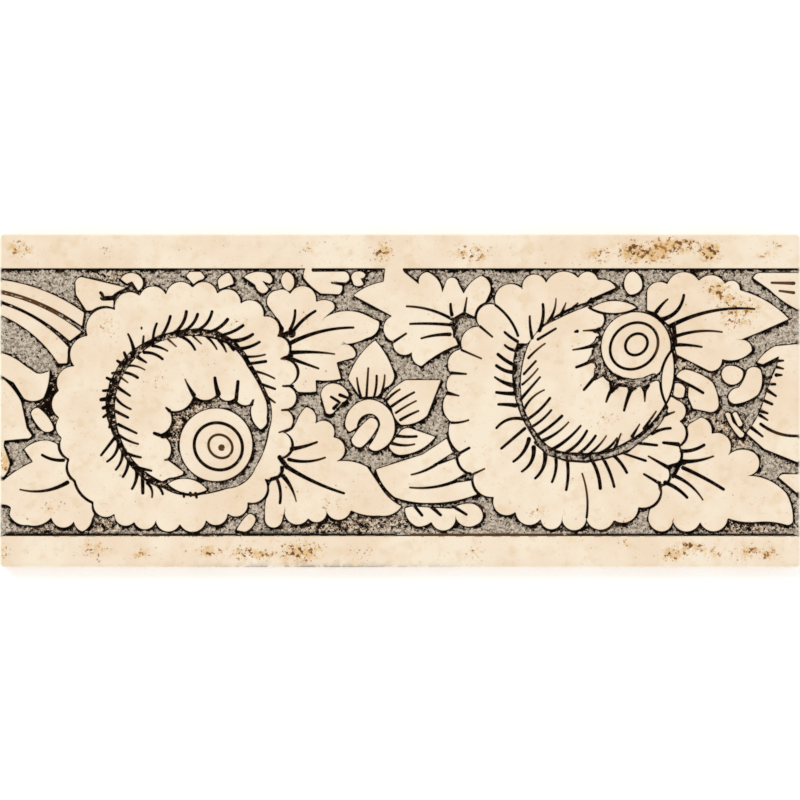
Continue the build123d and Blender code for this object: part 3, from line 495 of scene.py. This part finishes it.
def pit_tree():
    """Scatters small discs over a sheet, thick where its stain is strong."""
    t = Tree("pit_scatter", "GeometryNodeTree")
    given, identifiers = group_inputs(t, {
        "Density": "NodeSocketFloat", "Smallest": "NodeSocketFloat", "Largest": "NodeSocketFloat",
        "Seed": "NodeSocketInt", "Stone": "NodeSocketMaterial",
    })
    stain = t.node("GeometryNodeInputNamedAttribute", {"data_type": "FLOAT"}, Name="stain").outputs[0]
    density = t.math("MULTIPLY", stain, given.outputs["Density"])
    points = t.node("GeometryNodeDistributePointsOnFaces", Mesh=given.outputs["Geometry"], Density=density,
                    Seed=given.outputs["Seed"])
    chance = t.node("FunctionNodeRandomValue", {"data_type": "FLOAT"}, Seed=given.outputs["Seed"]).outputs[1]
    size = t.sweep(t.math("POWER", chance, 2.0), 0, 1, given.outputs["Smallest"], given.outputs["Largest"],
                   "LINEAR")
    disc = t.node("GeometryNodeMeshCircle", {"fill_type": "TRIANGLE_FAN"}, Vertices=8, Radius=1.0)
    placed = t.node("GeometryNodeInstanceOnPoints", Points=points.outputs["Points"],
                    Instance=disc.outputs[0], Scale=size)
    real = t.node("GeometryNodeRealizeInstances", Geometry=placed.outputs[0])
    dressed = t.node("GeometryNodeSetMaterial", Geometry=real.outputs[0], Material=given.outputs["Stone"])
    t.node("NodeGroupOutput", Geometry=dressed.outputs[0])
    return t.tree, identifiers


def relief_tree():
    """Lowers the face of the tile over the etched ground, the drawn lines, the pits and the arris."""
    t = Tree("tile_relief", "GeometryNodeTree")
    given, identifiers = group_inputs(t, {
        "Walls": "NodeSocketObject", "Slab": "NodeSocketObject", "Lines": "NodeSocketObject",
        "Pools": "NodeSocketObject", "Pits": "NodeSocketObject",
        "Top": "NodeSocketFloat", "Etch depth": "NodeSocketFloat",
        "Line depth": "NodeSocketFloat", "Edge ease": "NodeSocketFloat", "Wall run": "NodeSocketFloat",
        "Ground roughness": "NodeSocketFloat", "Face waviness": "NodeSocketFloat",
        "Pit depth": "NodeSocketFloat", "Arris": "NodeSocketFloat", "Stone": "NodeSocketMaterial",
    })
    place = t.node("GeometryNodeInputPosition").outputs[0]
    xyz = t.node("ShaderNodeSeparateXYZ", Vector=place)
    x, y = xyz.outputs[0], xyz.outputs[1]

    def at_height(z):
        made = t.node("ShaderNodeCombineXYZ", X=x, Y=y)
        t.feed(made.inputs["Z"], z)
        return made.outputs[0]

    def geometry_of(name):
        return t.node("GeometryNodeObjectInfo", Object=given.outputs[name]).outputs["Geometry"]

    middle = t.math("SUBTRACT", given.outputs["Top"], t.math("MULTIPLY", given.outputs["Etch depth"], 0.5))
    near = t.node("GeometryNodeProximity", {"target_element": "FACES"})
    t.feed(near.inputs[0], geometry_of("Walls"))
    t.feed(near.inputs["Sample Position"], at_height(middle))
    ray = t.node("GeometryNodeRaycast", {"data_type": "FLOAT"})
    t.feed(ray.inputs["Target Geometry"], geometry_of("Slab"))
    inner = t.node("ShaderNodeCombineXYZ")
    for socket, value, half in zip(inner.inputs, (x, y), (HALF_LENGTH, HALF_HEIGHT)):
        t.feed(socket, t.math("MINIMUM", t.math("MAXIMUM", value, MM - half), half - MM))
    t.feed(inner.inputs["Z"], t.math("ADD", given.outputs["Top"], MM))
    t.feed(ray.inputs["Source Position"], inner.outputs[0])
    t.feed(ray.inputs["Ray Direction"], (0, 0, -1))
    hit_height = t.node("ShaderNodeSeparateXYZ", Vector=ray.outputs["Hit Position"]).outputs[2]
    sunk = t.math("LESS_THAN", hit_height, middle)
    side = t.math("SUBTRACT", t.math("MULTIPLY", sunk, 2.0), 1.0)
    flat = at_height(given.outputs["Top"])

    def dots(name):
        return t.node("GeometryNodeCurveToPoints", {"mode": "EVALUATED"}, Curve=geometry_of(name)).outputs[0]

    def nearest(points, field, kind):
        """The nearest point of a set: how far it is, and one field of it."""
        index = t.node("GeometryNodeSampleNearest", {"domain": "POINT"})
        t.feed(index.inputs["Geometry"], points)
        t.feed(index.inputs["Sample Position"], flat)
        taken = []
        spot = t.node("GeometryNodeInputPosition").outputs[0]
        for value, data_type in ((spot, "FLOAT_VECTOR"), (field, kind)):
            sample = t.node("GeometryNodeSampleIndex", {"data_type": data_type, "domain": "POINT"})
            t.feed(sample.inputs["Geometry"], points)
            t.feed(sample.inputs["Value"], value)
            t.feed(sample.inputs["Index"], index.outputs[0])
            taken.append(sample.outputs[0])
        away = t.node("ShaderNodeVectorMath", {"operation": "DISTANCE"})
        t.feed(away.inputs[0], taken[0])
        t.feed(away.inputs[1], flat)
        return away.outputs["Value"], taken[1]

    radius = t.node("GeometryNodeInputRadius").outputs[0]
    line_away, line_half = nearest(dots("Lines"), radius, "FLOAT")
    in_line = t.math("SUBTRACT", line_half, line_away)
    pool_away, pool_half = nearest(dots("Pools"), radius, "FLOAT")
    in_pool = t.math("SUBTRACT", pool_half, pool_away)
    ground = t.math("MAXIMUM", t.math("MULTIPLY", near.outputs["Distance"], side), in_pool)
    etched = t.math("MAXIMUM", ground, in_line)

    low = t.math("MULTIPLY", given.outputs["Edge ease"], -1.0)
    cut_ground = t.sweep(ground, low, given.outputs["Wall run"])
    cut_line = t.sweep(in_line, low, given.outputs["Wall run"])
    deep_ground = t.math("MULTIPLY", cut_ground, given.outputs["Etch depth"])
    deep_line = t.math("MULTIPLY", cut_line, given.outputs["Line depth"])
    rough = t.node("ShaderNodeTexNoise", {"noise_dimensions": "3D"}, Vector=place, Scale=900.0, Detail=3.0)
    uneven = t.math("MULTIPLY", t.math("SUBTRACT", rough.outputs[0], 0.5), given.outputs["Ground roughness"])
    carved = t.math("ADD", t.math("MAXIMUM", deep_ground, deep_line), t.math("MULTIPLY", uneven, cut_ground))
    slow = t.node("ShaderNodeTexNoise", {"noise_dimensions": "3D"}, Vector=place, Scale=60.0, Detail=2.0)
    wave = t.math("MULTIPLY", slow.outputs[0], given.outputs["Face waviness"])

    def stored_field(name):
        return t.node("GeometryNodeInputNamedAttribute", {"data_type": "FLOAT"}, Name=name).outputs[0]

    pit_radius = stored_field("pit_radius")
    pit_away, pit_size = nearest(geometry_of("Pits"), pit_radius, "FLOAT")
    pit = t.sweep(t.math("DIVIDE", pit_away, pit_size), 1.15, 0.1)
    kept = t.math("SUBTRACT", 1.0, t.sweep(etched, -0.4 * MM, 0.0))
    pit = t.math("MULTIPLY", pit, kept)
    pit_drop = t.math("MULTIPLY", t.math("MINIMUM", given.outputs["Pit depth"], pit_size), pit)

    inset = stored_field("inset")
    arris = given.outputs["Arris"]
    outer = t.math("SUBTRACT", 1.0, t.math("DIVIDE", t.math("MINIMUM", inset, arris), arris))
    rounding = t.math("MULTIPLY", t.math("POWER", outer, 1.5), t.math("MULTIPLY", arris, 0.65))

    drop = t.math("ADD", t.math("MAXIMUM", carved, rounding), t.math("ADD", pit_drop, wave))
    down = t.node("ShaderNodeCombineXYZ", X=0.0, Y=0.0, Z=t.math("MULTIPLY", drop, -1.0)).outputs[0]
    on_face = stored_field("face")
    # How far the etched ground lies on the shadow side of a raised form, with the light from the upper left;
    # it widens the painted shadow in the dark band along the walls
    to_wall = t.node("ShaderNodeVectorMath", {"operation": "SUBTRACT"})
    t.feed(to_wall.inputs[0], near.outputs["Position"])
    t.feed(to_wall.inputs[1], at_height(middle))
    unit = t.node("ShaderNodeVectorMath", {"operation": "NORMALIZE"})
    t.feed(unit.inputs[0], to_wall.outputs[0])
    facing = t.node("ShaderNodeVectorMath", {"operation": "DOT_PRODUCT"})
    t.feed(facing.inputs[0], unit.outputs[0])
    t.feed(facing.inputs[1], (-0.6, 0.8, 0.0))

    made = given.outputs["Geometry"]
    fields = {
        "etched": t.math("MULTIPLY", t.sweep(etched, -0.13 * MM, 0.03 * MM), on_face),
        "wall": t.math("DIVIDE", etched, MM),
        "line": t.math("MULTIPLY", t.sweep(in_line, -0.13 * MM, 0.03 * MM), on_face),
        "breadth": t.math("DIVIDE", line_half, MM),
        "ground": t.math("MULTIPLY", cut_ground, on_face),
        "facing": facing.outputs["Value"],
        "pit": t.math("MULTIPLY", pit, on_face),
    }
    for name, field in fields.items():
        stored = t.node("GeometryNodeStoreNamedAttribute", {"data_type": "FLOAT", "domain": "POINT"},
                        Name=name)
        t.feed(stored.inputs["Geometry"], made)
        t.feed(stored.inputs["Value"], field)
        made = stored.outputs[0]
    lowered = t.node("GeometryNodeSetPosition", Geometry=made, Offset=down)
    t.feed(lowered.inputs["Selection"], t.math("GREATER_THAN", on_face, 0.5))
    real = t.node("GeometryNodeRealizeInstances", Geometry=lowered.outputs[0])
    dressed = t.node("GeometryNodeSetMaterial", Geometry=real.outputs[0], Material=given.outputs["Stone"])
    t.node("NodeGroupOutput", Geometry=dressed.outputs[0])
    return t.tree, identifiers


def colour(red, green, blue):
    """An 8-bit screen colour as linear light."""
    levels = [v / 255 for v in (red, green, blue)]
    return (*[v / 12.92 if v <= 0.04045 else ((v + 0.055) / 1.055) ** 2.4 for v in levels], 1.0)


def stone_material():
    """Pale honed stone with ochre stain in its pits, and pigment in the etched ground and lines, with
    painted shadow along the walls, a painted highlight round the arris and painted shade along the lower
    arris.
    """
    material = bpy.data.materials.new("etched_stone")
    material.use_nodes = True
    t = Tree("etched_stone", None)
    t.tree = material.node_tree
    t.tree.nodes.clear()
    place = t.node("ShaderNodeTexCoord").outputs["Object"]

    def field(name):
        return t.node("ShaderNodeAttribute", {"attribute_name": name}).outputs["Fac"]

    def speckle(scale, detail, rough=0.6):
        made = t.node("ShaderNodeTexNoise", Vector=place, Scale=scale, Detail=detail, Roughness=rough)
        return made.outputs[0]

    def mixed(share, first, second):
        made = t.node("ShaderNodeMix", {"data_type": "RGBA"})
        t.feed(made.inputs[0], share)
        t.feed(made.inputs[6], first)
        t.feed(made.inputs[7], second)
        return made.outputs[2]

    cream = mixed(t.sweep(speckle(45, 3), 0.35, 0.65), colour(240, 219, 192), colour(246, 231, 208))
    cream = mixed(t.sweep(speckle(170, 4), 0.5, 0.72, 0, 0.5), cream, colour(232, 203, 165))
    stain = field("stain")
    glow = t.sweep(t.math("ADD", t.math("MULTIPLY", stain, 0.33), speckle(330, 5, 0.7)), 0.56, 0.76, 0, 0.9)
    glow = t.math("MULTIPLY", glow, t.sweep(stain, 0.02, 0.4, 0.12, 1.0))
    cream = mixed(glow, cream, colour(228, 190, 134))
    thick = t.math("MULTIPLY", t.math("MINIMUM", stain, 0.7), 0.2)
    rust = t.sweep(t.math("ADD", thick, speckle(520, 3, 0.7)), 0.64, 0.69, 0, 0.95)
    aged = t.math("MULTIPLY", t.sweep(speckle(260, 2), 0.42, 0.6), t.sweep(stain, 0.15, 0.7))
    brown = mixed(aged, colour(176, 122, 66), colour(98, 56, 24))
    cream = mixed(t.math("MULTIPLY", rust, t.sweep(stain, 0.05, 0.3)), cream, brown)
    fleck = t.math("MULTIPLY", t.sweep(speckle(900, 2), 0.64, 0.72), 0.4)
    cream = mixed(fleck, cream, colour(212, 168, 116))
    cream = mixed(t.math("MULTIPLY", field("pit"), 0.8), cream, colour(158, 104, 54))

    grain = speckle(900, 3, 0.75)
    dark = field("dark")
    warm = t.sweep(dark, 0.2, 1.0)
    pale = mixed(warm, colour(212, 199, 181), colour(240, 220, 194))
    deep = mixed(warm, colour(138, 122, 104), colour(128, 98, 70))
    grey = mixed(t.sweep(grain, 0.38, 0.62), deep, pale)
    dots = t.math("ADD", speckle(820, 2, 0.6), t.math("MULTIPLY", dark, 0.05))
    grey = mixed(t.sweep(dots, 0.6, 0.64, 0, 0.95), grey, colour(36, 23, 14))
    patches = t.math("ADD", speckle(430, 4, 0.8), t.math("MULTIPLY", dark, 0.135))
    grey = mixed(t.sweep(patches, 0.62, 0.66), grey, colour(16, 9, 5))

    # Dark band at the foot of the walls: partly pigment settled there, partly painted shadow, wider on the
    # lower-right side of each raised form, away from the light at the upper left
    wall = field("wall")
    reach = t.math("ADD", t.math("MULTIPLY", field("facing"), 0.45), 0.73)
    reach = t.math("MULTIPLY", reach, t.sweep(speckle(420, 4, 0.75), 0.35, 0.65, 0.4, 1.9))
    ink_and_shadow = t.sweep(t.math("DIVIDE", wall, t.math("MAXIMUM", reach, 0.22)), 0.8, 1.35, 1.0, 0.0)
    ink_and_shadow = t.math("MAXIMUM", ink_and_shadow, field("line"))
    thin = t.math("MULTIPLY", t.sweep(field("breadth"), 0.28, 0.45, 0.75, 0.0), field("line"))
    thin = t.math("MAXIMUM", thin, t.math("MULTIPLY", t.sweep(field("rusty"), 0.2, 0.9), 0.8))
    black = mixed(t.sweep(speckle(650, 3), 0.48, 0.7), colour(8, 5, 3), colour(66, 44, 28))
    pigment = mixed(thin, black, colour(112, 74, 42))
    inked_and_shadowed = mixed(ink_and_shadow, grey, pigment)
    finish = mixed(field("etched"), cream, inked_and_shadowed)
    # Painted highlight round the arris: the face is lightened towards white where it rounds over at the rim,
    # to offset the arris's shading
    finish = mixed(t.sweep(field("inset"), 0.0, FACE_ARRIS, 0.4, 0.0), finish, colour(255, 250, 240))

    # Painted shade along the lower arris, on the face only, broken by noise into dashes
    arris_shading = t.math("MULTIPLY", field("arris_shade"), field("face"))
    arris_shading = t.math("MULTIPLY", arris_shading, t.sweep(speckle(230, 3), 0.38, 0.58))
    finish = mixed(arris_shading, finish, colour(104, 94, 84))

    bump = t.node("ShaderNodeBump", Height=speckle(2200, 3), Strength=0.12, Distance=0.0002)
    surface = t.node("ShaderNodeBsdfPrincipled", Roughness=0.62)
    t.feed(surface.inputs["Base Color"], finish)
    t.feed(surface.inputs["Normal"], bump.outputs[0])
    t.feed(surface.inputs["Specular IOR Level"], 0.02)
    out = t.node("ShaderNodeOutputMaterial")
    t.feed(out.inputs["Surface"], surface.outputs[0])
    return material


def core_of(x, y):
    """The nearest point of the rectangle that the rounded corners are drawn round."""
    reach_x, reach_y = HALF_LENGTH - CORNER_RADIUS, HALF_HEIGHT - CORNER_RADIUS
    return Vector((max(-reach_x, min(reach_x, x)), max(-reach_y, min(reach_y, y))))


def inset_of(x, y):
    """How far a point lies inside the tile's plan."""
    reach_x = abs(x) - (HALF_LENGTH - CORNER_RADIUS)
    reach_y = abs(y) - (HALF_HEIGHT - CORNER_RADIUS)
    outside = math.hypot(max(reach_x, 0), max(reach_y, 0))
    return CORNER_RADIUS - outside - min(max(reach_x, reach_y), 0)


def plan_loop(inset, step):
    """Points round the tile's plan, moved inwards."""
    radius = CORNER_RADIUS - inset
    reach_x, reach_y = HALF_LENGTH - CORNER_RADIUS, HALF_HEIGHT - CORNER_RADIUS
    if radius < 0:
        reach_x, reach_y, radius = reach_x + radius, reach_y + radius, 0
    places = []
    corners = [
        (1, -1, -90, reach_y * 2), (1, 1, 0, reach_x * 2), (-1, 1, 90, reach_y * 2),
        (-1, -1, 180, reach_x * 2),
    ]
    for side_x, side_y, start, run in corners:
        middle = Vector((side_x * reach_x, side_y * reach_y))
        turns = 4 if radius else 0
        for i in range(turns + 1):
            turn = math.radians(start + (90 * i / turns if turns else 90))
            places.append(middle + Vector((math.cos(turn), math.sin(turn))) * radius)
        ahead = Vector((-math.sin(math.radians(start + 90)), math.cos(math.radians(start + 90))))
        last = places[-1]
        count = round(run / step)
        places += [last + ahead * (run * i / count) for i in range(1, count)]
    return places


class Sheet:
    """Points of the flat face, kept a little apart from each other."""

    def __init__(self, cell):
        self.cell = cell
        self.spots = []
        self.taken = {}

    def add(self, x, y, apart):
        key = (round(x / self.cell), round(y / self.cell))
        for dx in (-1, 0, 1):
            for dy in (-1, 0, 1):
                for other in self.taken.get((key[0] + dx, key[1] + dy), ()):
                    if (other[0] - x) ** 2 + (other[1] - y) ** 2 < apart * apart:
                        return
        self.taken.setdefault(key, []).append((x, y))
        self.spots.append(Vector((x, y)))


def stain_sheet():
    """A flat grid over the tile that carries the stain, for the pits."""
    bm = bmesh.new()
    bmesh.ops.create_grid(bm, x_segments=150, y_segments=64, size=1)
    for vertex in bm.verts:
        vertex.co = (vertex.co.x * (HALF_LENGTH - 2 * MM), vertex.co.y * (HALF_HEIGHT - 2 * MM), TOP)
    data = mesh_of(bm, "stain_sheet")
    places = np.array([v.co for v in data.vertices])
    levels = 0.005 + blobs(places, STAINS) ** 1.5
    data.attributes.new("stain", "FLOAT", "POINT").data.foreach_set("value", levels.astype(np.float32))
    return helper("stain_sheet", data)


def scattered_pits(material):
    """Middle and radius of each pit that falls on the kept face."""
    tree, identifiers = pit_tree()
    sheet = stain_sheet()
    discs = run_tree(sheet, tree, identifiers, {
        "Density": 5.5e5, "Smallest": 0.22 * MM, "Largest": 0.6 * MM, "Seed": 7, "Stone": material,
    })
    bpy.data.objects.remove(sheet)
    pits = []
    places = [v.co for v in discs.vertices]
    size = 9
    for start in range(0, len(places), size):
        ring = places[start:start + size]
        middle = sum((Vector(p) for p in ring), Vector()) / size
        radius = max((p - middle).length for p in ring)
        if ground_reach(middle.x, middle.y) < -radius - 0.3 * MM:
            pits.append((middle, radius))
    return pits


def pit_helper(pits):
    data = bpy.data.meshes.new("pits_helper")
    data.from_pydata([(m.x, m.y, TOP) for m, r in pits], [], [])
    data.attributes.new("pit_radius", "FLOAT", "POINT").data.foreach_set("value", [r for m, r in pits])
    return helper("pits_helper", data)


def face_points(pits):
    """Places for the vertices of the face: close along walls, lines, pits and arris, wider elsewhere."""
    sheet = Sheet(0.5 * MM)
    for inset, step in ((0.0, 1.2), (0.12, 1.2), (0.35, 1.2), (0.8, 1.4)):
        for spot in plan_loop(inset * MM, step * MM):
            sheet.add(spot.x, spot.y, 0.02 * MM)
    rim = len(plan_loop(0, 1.2 * MM))

    def keep(x, y, apart):
        if inset_of(x, y) > 1.0 * MM:
            sheet.add(x, y, apart)

    line_tree_points = [(spot, half) for places in all_lines(0.25) for spot, across, half in places]
    line_tree = KDTree(len(line_tree_points))
    for i, (spot, half) in enumerate(line_tree_points):
        line_tree.insert((spot.x, spot.y, 0), i)
    line_tree.balance()

    def line_reach(x, y):
        spot, index, away = line_tree.find((x, y, 0))
        return line_tree_points[index][1] - away

    for face in walls_mesh.faces:
        upper = [v.co for v in face.verts if v.co.z > TOP - 0.1 * MM]
        if len(upper) < 2:
            continue
        start, end = upper[:2]
        out = Vector((face.normal.x, face.normal.y)).normalized()
        count = max(1, round((end - start).length / (0.6 * MM)))
        for i in range(count):
            spot = start.lerp(end, (i + 0.5) / count)
            for row in (-0.14, 0.06, 0.24, -0.5, 0.65, 1.2):
                x, y = spot.x + out.x * row * MM, spot.y + out.y * row * MM
                if abs(row) < 0.1 or abs(abs(ground_reach(x, y)) - abs(row) * MM) < 0.25 * abs(row) * MM:
                    keep(x, y, min(0.4, 0.12 + 0.2 * abs(row)) * MM)
    for places in all_lines(0.55) + all_pools(0.55):
        for spot, across, half in places:
            for row in (0, -1, 1):
                for beyond in ((0,) if row == 0 else (-0.04, 0.15, 0.5)):
                    x, y = spot + across * row * (half + beyond * MM)
                    if ground_reach(x, y) < 0.1 * MM:
                        keep(x, y, 0.14 * MM if beyond < 0.3 else 0.35 * MM)
        for (spot, across, half), ahead in ((places[0], -1), (places[-1], 1)):
            along = Vector((across.y, -across.x)) * ahead
            for turn in range(-60, 61, 30):
                heading = along * math.cos(math.radians(turn)) + across * math.sin(math.radians(turn))
                for beyond in (-0.04, 0.15, 0.5):
                    x, y = spot + heading * (half + beyond * MM)
                    if ground_reach(x, y) < 0.1 * MM and line_reach(x, y) < 0.06 * MM:
                        keep(x, y, 0.13 * MM)
    for middle, radius in pits:
        keep(middle.x, middle.y, 0.1 * MM)
        for share in (0.55, 1.1):
            for i in range(6):
                turn = math.radians(60 * i + 100 * share)
                spot = middle + Vector((math.cos(turn), math.sin(turn), 0)) * radius * share
                keep(spot.x, spot.y, 0.12 * MM)
    for step, over_ground in ((1.0, True), (1.7, False)):
        for i in range(round(2 * HALF_LENGTH / (step * MM)) + 1):
            for j in range(round(2 * HALF_HEIGHT / (step * MM)) + 1):
                x = -HALF_LENGTH + (i + random.uniform(-0.25, 0.25)) * step * MM
                y = -HALF_HEIGHT + (j + random.uniform(-0.25, 0.25)) * step * MM
                if inset_of(x, y) > MM and (ground_reach(x, y) > 0) == over_ground:
                    keep(x, y, 0.55 * step * MM)
    return sheet.spots, rim


def blank_tile(pits):
    """The closed tile with a flat face, ready for the relief."""
    spots, rim = face_points(pits)
    made = delaunay_2d_cdt(spots, [], [list(range(rim))], 1, 1e-7, False)
    bm = bmesh.new()
    verts = [bm.verts.new((p.x, p.y, TOP)) for p in made[0]]
    for corners in made[2]:
        bm.faces.new([verts[i] for i in corners])
    bm.normal_update()
    on_face = bm.verts.layers.float.new("face")
    inset = bm.verts.layers.float.new("inset")
    for vertex in bm.verts:
        vertex[on_face] = 1.0
        vertex[inset] = max(0.0, inset_of(vertex.co.x, vertex.co.y))
    edges = [e for e in bm.edges if e.is_boundary]
    for edge in edges:
        edge.smooth = False
    for height, back in ((7.8, 0.02), (6.0, 0.06), (4.0, 0.06), (2.0, 0.05), (0.5, 0.0), (0.0, 0.5)):
        ring = bmesh.ops.extrude_edge_only(bm, edges=edges)["geom"]
        for vertex in [g for g in ring if isinstance(g, bmesh.types.BMVert)]:
            core = core_of(vertex.co.x, vertex.co.y)
            out = Vector((vertex.co.x, vertex.co.y)) - core
            wobble = back * MM if height in (0.0, 0.5) else back * MM * (1 + noise.noise(vertex.co * 150))
            rim_place = core + out.normalized() * (CORNER_RADIUS - wobble)
            vertex.co = (rim_place.x, rim_place.y, height * MM)
            vertex[on_face] = 0.0
            vertex[inset] = 1.0
        edges = [g for g in ring if isinstance(g, bmesh.types.BMEdge)]
    bmesh.ops.contextual_create(bm, geom=edges)
    bmesh.ops.recalc_face_normals(bm, faces=bm.faces)
    return bm


def finish_attributes(data):
    """Adds the stain, the dark ground, the worn pigment and the painted shade along the lower arris as
    attributes.
    """
    places = np.zeros(len(data.vertices) * 3)
    data.vertices.foreach_get("co", places)
    places = places.reshape(-1, 3)
    tables = {"stain": STAINS, "dark": DARK_GROUND + furrow_spots(), "rusty": RUSTY, "arris_shade": LOWER_ARRIS_SHADE}
    for name, table in tables.items():
        levels = blobs(places, table).astype(np.float32)
        data.attributes.new(name, "FLOAT", "POINT").data.foreach_set("value", levels)


def bake_map(data):
    """A map for baking: the face in plan, and the edges and the back in strips below it."""
    corner = np.zeros(len(data.loops), dtype=np.int32)
    data.loops.foreach_get("vertex_index", corner)
    places = np.zeros(len(data.vertices) * 3, dtype=np.float32)
    data.vertices.foreach_get("co", places)
    x, y, z = places.reshape(-1, 3)[corner].T
    on_face = np.zeros(len(data.vertices), dtype=np.float32)
    data.attributes["face"].data.foreach_get("value", on_face)
    first = np.array([p.loop_start for p in data.polygons])
    sizes = np.array([p.loop_total for p in data.polygons])
    normals = np.array([p.normal for p in data.polygons])
    of_face = np.repeat(np.minimum.reduceat(on_face[corner], first) > 0.5, sizes)
    towards = np.repeat(normals, sizes, axis=0)

    along = 0.01 + 0.98 * (x / (2 * HALF_LENGTH) + 0.5)
    across = y / (2 * HALF_HEIGHT) + 0.5
    height = 0.012 * z / TOP
    of_back = towards[:, 2] < -0.9
    of_end = np.abs(towards[:, 0]) > np.abs(towards[:, 1])
    far = np.where(of_end, towards[:, 0] > 0, towards[:, 1] > 0)
    edge_u = np.where(of_end, 0.01 + 0.48 * across + np.where(far, 0.5, 0.0), along)
    edge_v = np.where(of_end, 0.085, np.where(far, 0.07, 0.055)) + height
    u = np.where(of_face | of_back, along, edge_u)
    v = np.where(of_face, 0.11 + 0.88 * across, np.where(of_back, 0.01 + 0.035 * across, edge_v))
    layer = data.uv_layers.new(name="OFBake")
    layer.uv.foreach_set("vector", np.stack([u, v], axis=1).ravel().astype(np.float32))


stone = stone_material()
pits = scattered_pits(stone)
pits_object = pit_helper(pits)
blank = helper("border_tile_stone", mesh_of(blank_tile(pits), "blank"))
tree, identifiers = relief_tree()
relief = run_tree(blank, tree, identifiers, {
    "Walls": walls, "Slab": slab, "Lines": lines, "Pools": pools, "Pits": pits_object, "Top": TOP,
    "Etch depth": ETCH_DEPTH, "Line depth": 0.6 * MM, "Edge ease": 0.12 * MM, "Wall run": 0.22 * MM,
    "Ground roughness": 0.16 * MM, "Face waviness": 0.05 * MM, "Pit depth": 0.2 * MM,
    "Arris": FACE_ARRIS, "Stone": stone,
})
blank.data = relief
finish_attributes(relief)
bake_map(relief)
for thing in (slab, walls, lines, pools, pits_object):
    bpy.data.objects.remove(thing)
for polygon in relief.polygons:
    polygon.use_smooth = True
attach(blank, "root")
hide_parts("border_tile")


def plain_material(name, shade):
    material = bpy.data.materials.new(name)
    material.use_nodes = True
    surface = material.node_tree.nodes["Principled BSDF"]
    surface.inputs["Base Color"].default_value = (shade, shade, shade, 1)
    surface.inputs["Roughness"].default_value = 0.9
    surface.inputs["Specular IOR Level"].default_value = 0.0
    surface.inputs["Emission Color"].default_value = (1, 1, 1, 1)
    surface.inputs["Emission Strength"].default_value = 0.1
    return material


floor_mesh = bpy.data.meshes.new("floor")
floor_mesh.from_pydata([(-3, -3, 0), (3, -3, 0), (3, 3, 0), (-3, 3, 0)], [], [(0, 1, 2, 3)])
floor_mesh.materials.append(plain_material("floor_white", 0.97))
floor = bpy.data.objects.new("floor", floor_mesh)
floor.location.z = -0.02 * MM
bpy.context.scene.collection.objects.link(floor)

world = bpy.data.worlds.new("sky")
world.use_nodes = True
world.node_tree.nodes["Background"].inputs["Color"].default_value = (1, 1, 1, 1)
world.node_tree.nodes["Background"].inputs["Strength"].default_value = 0.93
bpy.context.scene.world = world

key = bpy.data.objects.new("key", bpy.data.lights.new("key", "SUN"))
key.data.energy = 0.34
key.data.angle = math.radians(12)
key.rotation_euler = Vector((-0.4, 0.5, 1.0)).to_track_quat("Z", "Y").to_euler()
bpy.context.scene.collection.objects.link(key)

camera = bpy.data.objects.new("camera", bpy.data.cameras.new("camera"))
camera.data.lens = 200
camera.data.sensor_width = 36
distance = 2 * HALF_LENGTH * 800 / 799.6 * camera.data.lens / camera.data.sensor_width
camera.location = (0, 0.28 * MM, TOP + distance)
camera.data.clip_end = 20
bpy.context.scene.collection.objects.link(camera)
bpy.context.scene.camera = camera
bpy.context.scene.view_settings.view_transform = "Standard"

print("faces", len(relief.polygons), "vertices", len(relief.vertices), "pits", len(pits))
